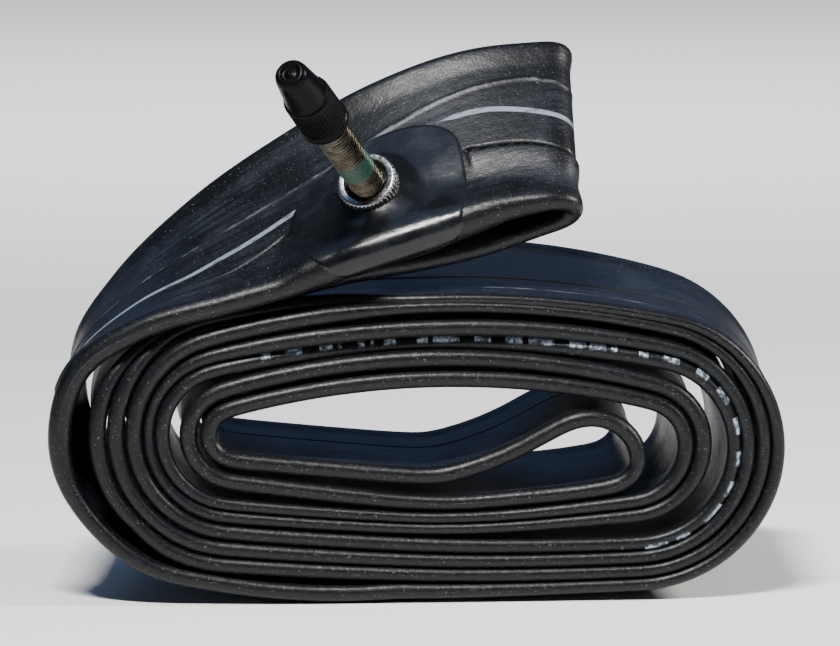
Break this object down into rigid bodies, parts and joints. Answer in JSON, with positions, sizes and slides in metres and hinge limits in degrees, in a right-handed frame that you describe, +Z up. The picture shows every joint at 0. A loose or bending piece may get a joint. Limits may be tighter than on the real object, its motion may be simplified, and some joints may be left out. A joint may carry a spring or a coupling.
{
  "type": "inner tube",
  "caption": "Bicycle inner tube of flattened butyl rubber, rolled up for storage, with a threaded slender valve, rim nut and dust cap on its folded-back outer run.",
  "frame": {"origin": "on the surface the roll rests on, midway across its width, under the middle of the roll", "axes": "+X along the roll's longest side, towards the end where the outer run folds back; +Y across the flattened tube, away from the side the valve leans to; +Z up"},
  "size_m": [0.1233, 0.0664, 0.0944],
  "materials": {
    "butyl": "matt black with a pale dusty bloom",
    "valve_rubber": "smooth moulded, slightly glossy",
    "nickel": "nickel-plated, satin",
    "core_brass": "bare machined brass",
    "cap_plastic": "moulded black plastic, semi-matt",
    "seal_rubber": "smooth black",
    "washer_plastic": "smooth white"
  },
  "bodies": {
    "tube": {"tube_coil": "butyl", "tube_valve_run": "butyl", "valve_pad": "valve_rubber", "valve_stem": "nickel", "core_body": "core_brass", "core_washer": "washer_plastic"},
    "rim_nut": {"rim_nut": "nickel"},
    "dust_cap": {"dust_cap": "cap_plastic"},
    "core_pin": {"core_pin": "core_brass", "core_seal": "seal_rubber"},
    "core_lock_nut": {"core_lock_nut": "core_brass"}
  },
  "joints": [
    {"name": "rim_nut_slide", "type": "slide", "parent": "tube", "child": "rim_nut", "axis": [-0.3561, -0.7561, 0.5491], "range_m": [0, 0.019]},
    {"name": "dust_cap_slide", "type": "slide", "parent": "tube", "child": "dust_cap", "axis": [-0.3561, -0.7561, 0.5491], "range_m": [0, 0.024]},
    {"name": "core_pin_slide", "type": "slide", "parent": "tube", "child": "core_pin", "axis": [-0.3561, -0.7561, 0.5491], "range_m": [-0.0015, 0]},
    {"name": "lock_nut_slide", "type": "slide", "parent": "core_pin", "child": "core_lock_nut", "axis": [-0.3561, -0.7561, 0.5491], "range_m": [0, 0.0025]}
  ],
  "couplings": [
    {"joint": "core_pin_slide", "follows": "lock_nut_slide", "ratio": -0.6}
  ]
}
